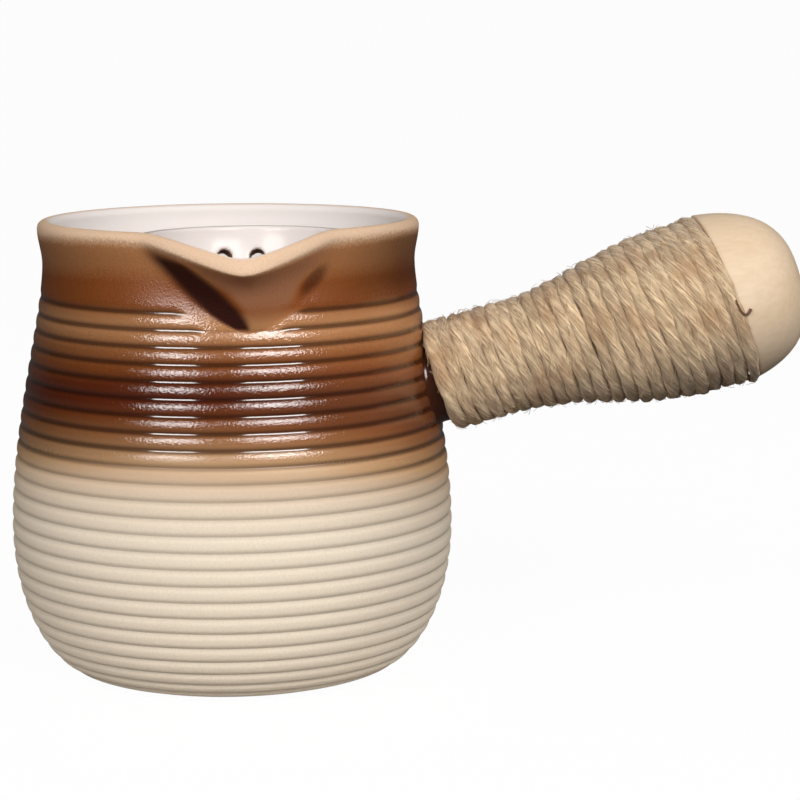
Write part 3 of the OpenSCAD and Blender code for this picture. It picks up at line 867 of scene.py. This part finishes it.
def wall_distance(pot, matrix, r, a):
    """Distance along the handle's axis at which lines beside it leave the wall."""
    line = WallLine(pot)
    turn = np.array(matrix.to_3x3())
    side = polar(r, a, 0 * a) @ turn.T + np.array(matrix.translation)
    low, high = np.full(a.shape, -12 * MM), np.full(a.shape, 12 * MM)
    for _ in range(40):
        s = (low + high) / 2
        at = side + s[..., None] * turn[:, 2]
        out = np.hypot(at[..., 0], at[..., 1]) > line.radius(at[..., 2])
        high, low = np.where(out, s, high), np.where(out, low, s)
    return (low + high) / 2


class TEAPOT_OT_lute_socket(Operator):
    """Lutes the hollow clay socket to the wall, with a soft fillet of glaze"""
    bl_idname = "teapot.lute_socket"
    bl_label = "Lute the socket"

    def execute(self, context):
        pot, handle = context.scene.teapot_pot, context.scene.teapot_handle
        matrix = handle_matrix(pot, handle)
        a = np.arange(96) * 2 * math.pi / 96
        stem_r, bore_r, fillet = handle.stem_d / 2, handle.tenon_d / 2 + handle.glue_t, handle.fillet
        sunk, edge = 1.2 * MM, 0.6 * MM
        rows = [(r, wall_distance(pot, matrix, r, a) - sunk) for r in (stem_r * 0.5, stem_r + fillet)]
        for bend in np.radians(np.linspace(0, 90, 10)):
            r = stem_r + fillet * (1 - math.sin(bend))
            rows.append((r, wall_distance(pot, matrix, r, a) - 0.5 * MM + fillet * (1 - math.cos(bend))))
        near, end, floor = rows[-1][1], handle.socket_len, handle.socket_floor
        rows += [(stem_r, near + (end - edge - near) * share) for share in (0.25, 0.5, 0.75, 1)]
        for bend in np.radians((30, 60, 90)):
            rows.append((stem_r - edge * (1 - math.cos(bend)), end - edge * (1 - math.sin(bend)) + 0 * a))
        rows += [(r, s + 0 * a) for r, s in ((bore_r, end), (bore_r, floor), (bore_r * 0.5, floor))]
        rings = np.stack([polar(r, a, s) for r, s in rows])
        centre = wall_distance(pot, matrix, 0, a)[0] - sunk
        mesh = skin("clay_socket", rings, (0, 0, centre), (0, 0, floor))
        mesh.transform(matrix)
        mesh.materials.append(brown_glaze(context.scene.teapot_colours))
        piece("clay_socket", mesh, "brown_glaze", "handle_socket")
        return {"FINISHED"}


class TEAPOT_OT_turn_handle(Operator):
    """Turns the wooden handle: a tenon, a bed for the twine, a leaning shoulder and a round end"""
    bl_idname = "teapot.turn_handle"
    bl_label = "Turn the handle"

    def execute(self, context):
        pot, handle = context.scene.teapot_pot, context.scene.teapot_handle
        twine = context.scene.teapot_twine
        matrix = handle_matrix(pot, handle)
        a = np.arange(128) * 2 * math.pi / 128
        level = 0 * a
        tenon_r, knob_r = handle.tenon_d / 2, handle.knob_d / 2
        tenon_s = handle.socket_floor + handle.glue_t
        shoulder = shoulder_at(handle)
        slope = lean_slope(twine, a)
        rows = [(tenon_r * 0.5 + level, tenon_s + level), (tenon_r - 0.5 * MM + level, tenon_s + level),
                (tenon_r + level, tenon_s + 0.5 * MM + level), (tenon_r + level, handle.socket_len + level)]
        for s in np.linspace(handle.socket_len, shoulder - 4 * MM, 30):
            rows.append((bed_radius(handle, twine, s) + level, s + level))
        bed_r = bed_radius(handle, twine, shoulder)
        rows.append((bed_r + level, shoulder + bed_r * slope))
        # The round end starts at the leaning shoulder, with an edge that sanding has broken
        edge = shoulder + level
        for _ in range(8):
            edge = shoulder + dome_radius(handle, edge) * slope
        for inset, lift in ((0.9, 0), (0.45, 0.05), (0.15, 0.2)):
            r = dome_radius(handle, edge) - inset * MM
            rows.append((r, shoulder + r * slope + lift * MM))
        ring_s, blunt = handle.reach - handle.dome_len, 2 / handle.dome_power
        first = np.arcsin(((edge - ring_s) / handle.dome_len) ** (1 / blunt))
        for share in np.linspace(0.01, 0.97, 44):
            bend = first + (math.pi / 2 - first) * share
            rows.append((knob_r * np.cos(bend) ** blunt, ring_s + handle.dome_len * np.sin(bend) ** blunt))
        rings = np.stack([polar(r, a, s) for r, s in rows])
        mesh = skin("wooden_handle", rings, (0, 0, tenon_s), (0, 0, handle.reach))
        mesh.transform(matrix)
        mesh.materials.append(turned_beech(context.scene.teapot_colours, matrix.inverted().to_euler()))
        piece("turned_handle", mesh, "beech", "wooden_handle")
        return {"FINISHED"}


def wandering(count, spacing, chance):
    """Smooth random values from -1 to 1, one new value to each spacing."""
    knots = chance.uniform(-1, 1, int(count / spacing) + 3)
    at = np.arange(count) / spacing
    low = at.astype(int)
    return knots[low] + (knots[low + 1] - knots[low]) * ease(at - low)


def twine_route(handle, twine, steps):
    """Points of the hand-wound twine in the handle's frame, from the wall to the shoulder, and its swell."""
    chance = np.random.default_rng(twine.seed)
    shoulder = shoulder_at(handle)
    start = twine.root_gap + twine.bed_d / 2
    end = shoulder - 1.1 * MM
    count = int(twine.turns * steps) + 1
    share = np.linspace(0, 1, count)
    a = math.pi + 2 * math.pi * twine.turns * share
    held = ease(share * 12) * ease((1 - share) * 12)
    sway, rise = 0.25 * MM, 0.2 * MM
    s = start + (end - start) * share + wandering(count, steps * 0.3, chance) * sway * held
    lift = wandering(count, steps * 0.22, chance) * rise
    # The last turn rides up on the edge of the round end
    lift += rise * ease((share - 1) * twine.turns / 1.5 + 1)
    leaning = lean_slope(twine, a) * s / shoulder
    bed = bed_radius(handle, twine, s + bed_radius(handle, twine, s) * leaning)
    r = bed + twine.height / 2 + np.maximum(lift, -0.1 * MM)
    swell = 1 + 0.1 * wandering(count, steps * 0.15, chance)
    # The last third of a turn goes on over the edge of the round end
    last = 0.36
    over = np.linspace(0, last, int(last * steps))[1:]
    turn = a[-1] + 2 * math.pi * over
    beyond = end + (end - start) / twine.turns * 0.45 * over
    round_r = dome_radius(handle, beyond + r[-1] * lean_slope(twine, turn))
    lifted = r[-1] + (round_r + 0.1 * twine.height - r[-1]) * ease(over / 0.3)
    s = np.concatenate([s, beyond])
    r = np.concatenate([r, lifted])
    a = np.concatenate([a, turn])
    swell = np.concatenate([swell, swell[-1] + (0.25 - swell[-1]) * ease(over / last)])
    return polar(r, a, s + r * lean_slope(twine, a) * s / shoulder), swell


def plied_twine(material):
    """Tree that runs twisted plies along a path."""
    tree, node, given = node_group("plied_twine", "Thickness", "Lay")
    spot = node("SplineParameter").outputs
    run = node("InputTangent")
    kept = node("StoreNamedAttribute", {"Geometry": given["Geometry"], "Name": "along",
            "Value": spot["Length"]}, data_type="FLOAT")
    kept = node("StoreNamedAttribute", {"Geometry": kept, "Name": "run", "Value": run},
            data_type="FLOAT_VECTOR")
    laid = node("Math", [spot["Length"], given["Lay"]], operation="DIVIDE")
    twist = node("Math", [laid, -2 * math.pi], operation="MULTIPLY")
    path = node("SetCurveTilt", {"Curve": kept, "Tilt": twist})
    half = node("Math", [given["Thickness"], 0.5], operation="MULTIPLY")
    ring = node("CurvePrimitiveCircle", {"Resolution": 18, "Radius": half}, mode="RADIUS")
    place = node("SplineParameter").outputs["Factor"]
    lobe = node("Math", [place, PLIES * 2 * math.pi], operation="MULTIPLY")
    wave = node("Math", [lobe], operation="COSINE")
    swell = node("Math", [wave, 0.1, 0.91], operation="MULTIPLY_ADD")
    flat = node("InputPosition")
    moved = node("VectorMath", {0: flat, "Scale": swell}, operation="SCALE")
    plies = node("SetPosition", {"Geometry": ring, "Position": moved})
    plies = node("StoreNamedAttribute", {"Geometry": plies, "Name": "around",
            "Value": place}, data_type="FLOAT")
    tube = node("CurveToMesh", {"Curve": path, "Profile Curve": plies, "Fill Caps": True})
    if "Scale" in tube.inputs:
        thick = node("InputRadius")
        node(tube, {"Scale": thick})
    soft = node("SetShadeSmooth", {"Geometry": tube})
    return close_group(tree, soft, material)


def press_flat(mesh, route, matrix, share):
    """Presses wound twine towards its route to a share of its height; gives the way out from the handle."""
    co, along = vectors(mesh.vertices, "co"), np.empty(len(mesh.vertices), np.float32)
    mesh.attributes["along"].data.foreach_get("value", along)
    lengths = np.concatenate([[0], np.cumsum(np.linalg.norm(np.diff(route, axis=0), axis=1))])
    middle = np.interp(along, lengths, np.hypot(route[:, 0], route[:, 1]))
    axis = np.array(matrix.to_3x3())[:, 2]
    away = co - np.array(matrix.translation)
    away -= (away @ axis)[:, None] * axis
    reach = np.linalg.norm(away, axis=1)
    away /= reach[:, None]
    co += away * ((middle - reach) * (1 - share))[:, None]
    mesh.vertices.foreach_set("co", co.reshape(-1))
    mesh.update()
    return away


def twine_end_route(handle, twine):
    """Points of the cut end of the twine, which hooks up over the edge of the round end."""
    at = np.linspace(0, 1, 14)[:, None]
    corners = np.array([(-0.6, 1.6), (-0.6, -3.8), (1.6, -1.2)]) * MM
    s, rise = ((1 - at) ** 2 * corners[0] + 2 * at * (1 - at) * corners[1] + at ** 2 * corners[2]).T
    a = math.radians(271) - rise / (handle.knob_d / 2)
    s = s + shoulder_at(handle) + handle.knob_d / 2 * lean_slope(twine, a)
    r = dome_radius(handle, s) + np.linspace(0.55, 0.35, len(a)) * MM
    return polar(r, a, s), np.linspace(0.6, 1, len(a))


def twine_path(name, points, swell, matrix):
    """A curve through points of the handle's frame, thicker and thinner along its way."""
    path = settle(bpy.data.curves.new(name, "CURVE"), dimensions="3D", twist_mode="MINIMUM")
    spline = path.splines.new("POLY")
    spline.points.add(len(points) - 1)
    placed = points @ np.array(matrix.to_3x3()).T + np.array(matrix.translation)
    spline.points.foreach_set("co", np.concatenate([placed, np.ones((len(points), 1))], 1).reshape(-1))
    spline.points.foreach_set("radius", swell)
    return shown_object(name, path)


class TEAPOT_OT_wind_twine(Operator):
    """Winds one length of plied twine round the socket and the handle, turn against turn"""
    bl_idname = "teapot.wind_twine"
    bl_label = "Wind the twine"

    def execute(self, context):
        pot, handle = context.scene.teapot_pot, context.scene.teapot_handle
        twine = context.scene.teapot_twine
        matrix = handle_matrix(pot, handle)
        points, swell = twine_route(handle, twine, TWINE_STEPS)
        tree = plied_twine(jute_twine(context.scene.teapot_colours))
        sizes = {"Thickness": twine.thickness, "Lay": twine.lay}
        mesh = grown(twine_path("twine_path", points, swell, matrix), tree, sizes)
        # How far each point faces away from the handle, where loose fibres can stand up
        away = press_flat(mesh, points, matrix, twine.height / twine.thickness)
        facing = (away * vectors(mesh.vertex_normals, "vector")).sum(1)
        keep_values(mesh, "outward", np.clip(facing, 0, 1))
        piece("jute_winding", mesh, "jute", "twine_winding")
        points, swell = twine_end_route(handle, twine)
        tree = plied_twine(cut_jute(context.scene.teapot_colours))
        sizes["Thickness"] = 0.2 * twine.thickness
        mesh = grown(twine_path("twine_end_path", points, swell, matrix), tree, sizes)
        piece("twine_end", mesh, "jute")
        return {"FINISHED"}


def loose_fibres(material):
    """Tree that teases bent fibres out of the twine, most of them lying along it."""
    tree, node, given = node_group("loose_fibres", "Fibre length", "Density", "Seed")
    free = node("InputNamedAttribute", {"Name": "outward"}, data_type="FLOAT")
    run = node("InputNamedAttribute", {"Name": "run"}, data_type="FLOAT_VECTOR")
    held = node("CaptureAttribute", {"Geometry": given["Geometry"]}, domain="POINT")
    held.capture_items.new("VECTOR", "Run")
    node(held, {"Run": run})
    spread = node("DistributePointsOnFaces", {"Mesh": held.outputs["Geometry"],
            "Density Max": given["Density"], "Density Factor": free, "Seed": given["Seed"],
            "Distance Min": 0.05 * MM}, distribute_method="POISSON")
    stems = node("JoinGeometry")
    hair = node("CurvePrimitiveCircle", {"Resolution": 3, "Radius": 0.05 * MM}, mode="RADIUS")
    # Middle and tip of a fibre of length 1, for each of its six bends
    for middle, tip in (
            ((0.5, 0.06, 0.03), (1.0, 0.02, -0.18)), ((0.5, -0.08, 0.03), (0.95, 0.08, -0.17)),
            ((0.5, 0.1, 0.04), (1.0, 0.15, -0.17)), ((0.5, -0.05, 0.03), (1.1, -0.15, -0.2)),
            ((0.4, 0.18, 0.06), (0.9, -0.1, -0.15)), ((0.6, -0.2, 0.06), (1.2, 0.1, -0.22))):
        bends = [node("VectorMath", {0: bend, "Scale": given["Fibre length"]}, operation="SCALE")
                 for bend in (middle, tip)]
        stem = node("CurveQuadraticBezier", {"Resolution": 4, "Start": (0, 0, -0.1 * MM),
                "Middle": bends[0], "End": bends[1]})
        tube = node("CurveToMesh", {"Curve": stem, "Profile Curve": hair})
        node(stems, [node("GeometryToInstance", [tube])])
    wander = node("RandomValue", {2: -0.35, 3: 0.35, "Seed": 3}, data_type="FLOAT")
    back = node("RandomValue", {"Probability": 0.5, "Seed": 4}, data_type="BOOLEAN")
    flip = node("Math", [back, math.pi, wander], operation="MULTIPLY_ADD")
    stand = node("AlignRotationToVector", {"Vector": spread.outputs["Normal"]}, axis="Z")
    lie = node("AlignRotationToVector", {"Rotation": stand, "Vector": held.outputs["Run"]},
            axis="X", pivot_axis="Z")
    swing = node("AxisAngleToRotation", {"Axis": (0, 0, 1), "Angle": flip})
    aim = node("RotateRotation", {"Rotation": lie, "Rotate By": swing}, rotation_space="LOCAL")
    size = node("RandomValue", {2: 0.5, 3: 1.1, "Seed": 5}, data_type="FLOAT")
    pick = node("RandomValue", {4: 0, 5: 5, "Seed": 6}, data_type="INT")
    hairs = node("InstanceOnPoints", {"Points": spread.outputs["Points"], "Instance": stems,
            "Pick Instance": True, "Instance Index": pick, "Rotation": aim, "Scale": size})
    shade = node("RandomValue", {2: 0.0, 3: 1.0, "Seed": 8}, data_type="FLOAT")
    marked = node("StoreNamedAttribute", {"Geometry": hairs, "Name": "fibre_shade",
            "Value": shade}, data_type="FLOAT", domain="INSTANCE")
    return close_group(tree, marked, material)


class TEAPOT_OT_tease_fibres(Operator):
    """Teases loose fibres out of the wound twine"""
    bl_idname = "teapot.tease_fibres"
    bl_label = "Tease out the fibres"

    def execute(self, context):
        twine = context.scene.teapot_twine
        winding = bpy.data.objects.get("jute_winding")
        if winding is None:
            raise RuntimeError("the twine is wound before its fibres are teased out")
        tree = loose_fibres(jute_fibre(context.scene.teapot_colours))
        sizes = {"Fibre length": twine.fibre, "Density": FIBRES, "Seed": twine.seed}
        mesh = grown(shown_object("fibre_bed", winding.data.copy()), tree, sizes)
        mesh.shade_smooth()
        piece("jute_fibres", mesh, "jute")
        return {"FINISHED"}


class TEAPOT_OT_spread_glue(Operator):
    """Gives the glue round the tenon its finish"""
    bl_idname = "teapot.spread_glue"
    bl_label = "Spread the glue"

    def execute(self, context):
        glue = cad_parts["tenon_glue"]
        glue.data.materials.clear()
        glue.data.materials.append(wood_glue(context.scene.teapot_colours))
        return {"FINISHED"}


def softbox(name, side, rise, wide, power):
    """A soft rectangular lamp that faces the pot, by its angles right of the camera and above the table."""
    way, rise = math.radians(side - 90 + CAMERA_SIDE), math.radians(rise)
    flat = LAMP_AWAY * math.cos(rise)
    at = Vector((flat * math.cos(way), flat * math.sin(way), POT_MIDDLE[2] + LAMP_AWAY * math.sin(rise)))
    lamp = bpy.data.lights.new(name, "AREA")
    settle(lamp, shape="RECTANGLE", size=wide, size_y=LAMP_HIGH, energy=power)
    made = shown_object(name, lamp)
    aim = (Vector(POT_MIDDLE) - at).to_track_quat("-Z", "Y")
    made.matrix_world = Matrix.LocRotScale(at, aim, None)
    return made


class TEAPOT_OT_set_stage(Operator):
    """Sets the camera, the soft lamps and the pale paper under and behind the pot"""
    bl_idname = "teapot.set_stage"
    bl_label = "Set the stage"

    def execute(self, context):
        scene = context.scene
        scene.view_settings.view_transform = "Standard"
        lens = bpy.data.cameras.new("camera")
        settle(lens, sensor_fit="HORIZONTAL", sensor_width=36, lens=FOCAL, clip_end=20)
        camera = shown_object("camera", lens)
        side, dip, roll = np.radians((CAMERA_SIDE, CAMERA_DIP, CAMERA_ROLL)).tolist()
        forward = Vector((-math.sin(side) * math.cos(dip), math.cos(side) * math.cos(dip), -math.sin(dip)))
        right = Vector((math.cos(side), math.sin(side), 0))
        up = right.cross(forward)
        across = right * math.cos(roll) - up * math.sin(roll)
        above = right * math.sin(roll) + up * math.cos(roll)
        turn = Matrix((across, above, -forward)).transposed()
        camera.matrix_world = Matrix.LocRotScale(Vector(CAMERA_AT) * MM, turn.to_quaternion(), None)
        scene.camera = camera
        # Soft light from above, and lower strips that only show in the glaze
        for lamp in SOFT_LAMPS:
            softbox(*lamp).visible_glossy = False
        for lamp in STRIP_LAMPS:
            softbox(*lamp).visible_diffuse = False
        world = bpy.data.worlds.new("studio_air")
        world.use_nodes = True
        scene.world = world
        node = partial(add, world.node_tree)
        rays = node("LightPath").outputs
        level = node("MapRange", [rays["Is Camera Ray"], 0, 1, 0.07, 1.0])
        level = node("Math", [rays["Is Glossy Ray"], -0.05, level], operation="MULTIPLY_ADD")
        node(world.node_tree.nodes["Background"], {"Color": (1, 1, 1), "Strength": level})
        # The paper lies flat and bends up behind the pot
        turn = np.radians(np.linspace(0, 90, 13))
        front, back, bend, top, wide = -2.4, 1.2, 0.6, 2.6, 3.0
        curve = np.stack([back + bend * np.sin(turn), bend * (1 - np.cos(turn))], 1)
        sweep = np.concatenate([[(front, 0)], curve, [(back + bend, top)]])
        points = [(x, y, z - 0.2 * MM) for y, z in sweep for x in (-wide, wide)]
        faces = [(2 * i, 2 * i + 1, 2 * i + 3, 2 * i + 2) for i in range(len(sweep) - 1)]
        mesh = bpy.data.meshes.new("studio_paper")
        mesh.from_pydata(points, [], faces)
        mesh.shade_smooth()
        mesh.materials.append(studio_paper(scene.teapot_colours))
        shown_object("studio_paper", mesh)
        return {"FINISHED"}


OPERATORS = (TEAPOT_OT_set_stage, TEAPOT_OT_throw_pot, TEAPOT_OT_pierce_strainer, TEAPOT_OT_lute_socket,
        TEAPOT_OT_turn_handle, TEAPOT_OT_wind_twine, TEAPOT_OT_tease_fibres, TEAPOT_OT_spread_glue)


class TEAPOT_PT_sidebar(Panel):
    """Lists the pieces of the teapot and their sizes"""
    bl_idname = "TEAPOT_PT_sidebar"
    bl_label = "Stoneware teapot"
    bl_space_type = "VIEW_3D"
    bl_region_type = "UI"
    bl_category = "Teapot"

    def draw(self, context):
        for operator in OPERATORS:
            self.layout.operator(operator.bl_idname)
        for group in GROUPS:
            values = getattr(context.scene, scene_name(group))
            box = self.layout.box()
            box.label(text=group.__doc__)
            for name in group.__annotations__:
                box.prop(values, name)


def scene_name(group):
    """Name under which the scene keeps a group of sizes."""
    return "teapot_" + group.__name__[len("Teapot"):].lower()


def register():
    for item in (*GROUPS, *OPERATORS, TEAPOT_PT_sidebar):
        bpy.utils.register_class(item)
    for group in GROUPS:
        setattr(bpy.types.Scene, scene_name(group), PointerProperty(type=group))


def unregister():
    for group in GROUPS:
        delattr(bpy.types.Scene, scene_name(group))
    for item in reversed((*GROUPS, *OPERATORS, TEAPOT_PT_sidebar)):
        bpy.utils.unregister_class(item)


def main():
    """Makes every piece in order."""
    register()
    bpy.ops.teapot.set_stage()
    bpy.ops.teapot.throw_pot()
    bpy.ops.teapot.pierce_strainer()
    bpy.ops.teapot.lute_socket()
    bpy.ops.teapot.turn_handle()
    bpy.ops.teapot.wind_twine()
    bpy.ops.teapot.tease_fibres()
    bpy.ops.teapot.spread_glue()


if __name__ == "__main__":
    main()
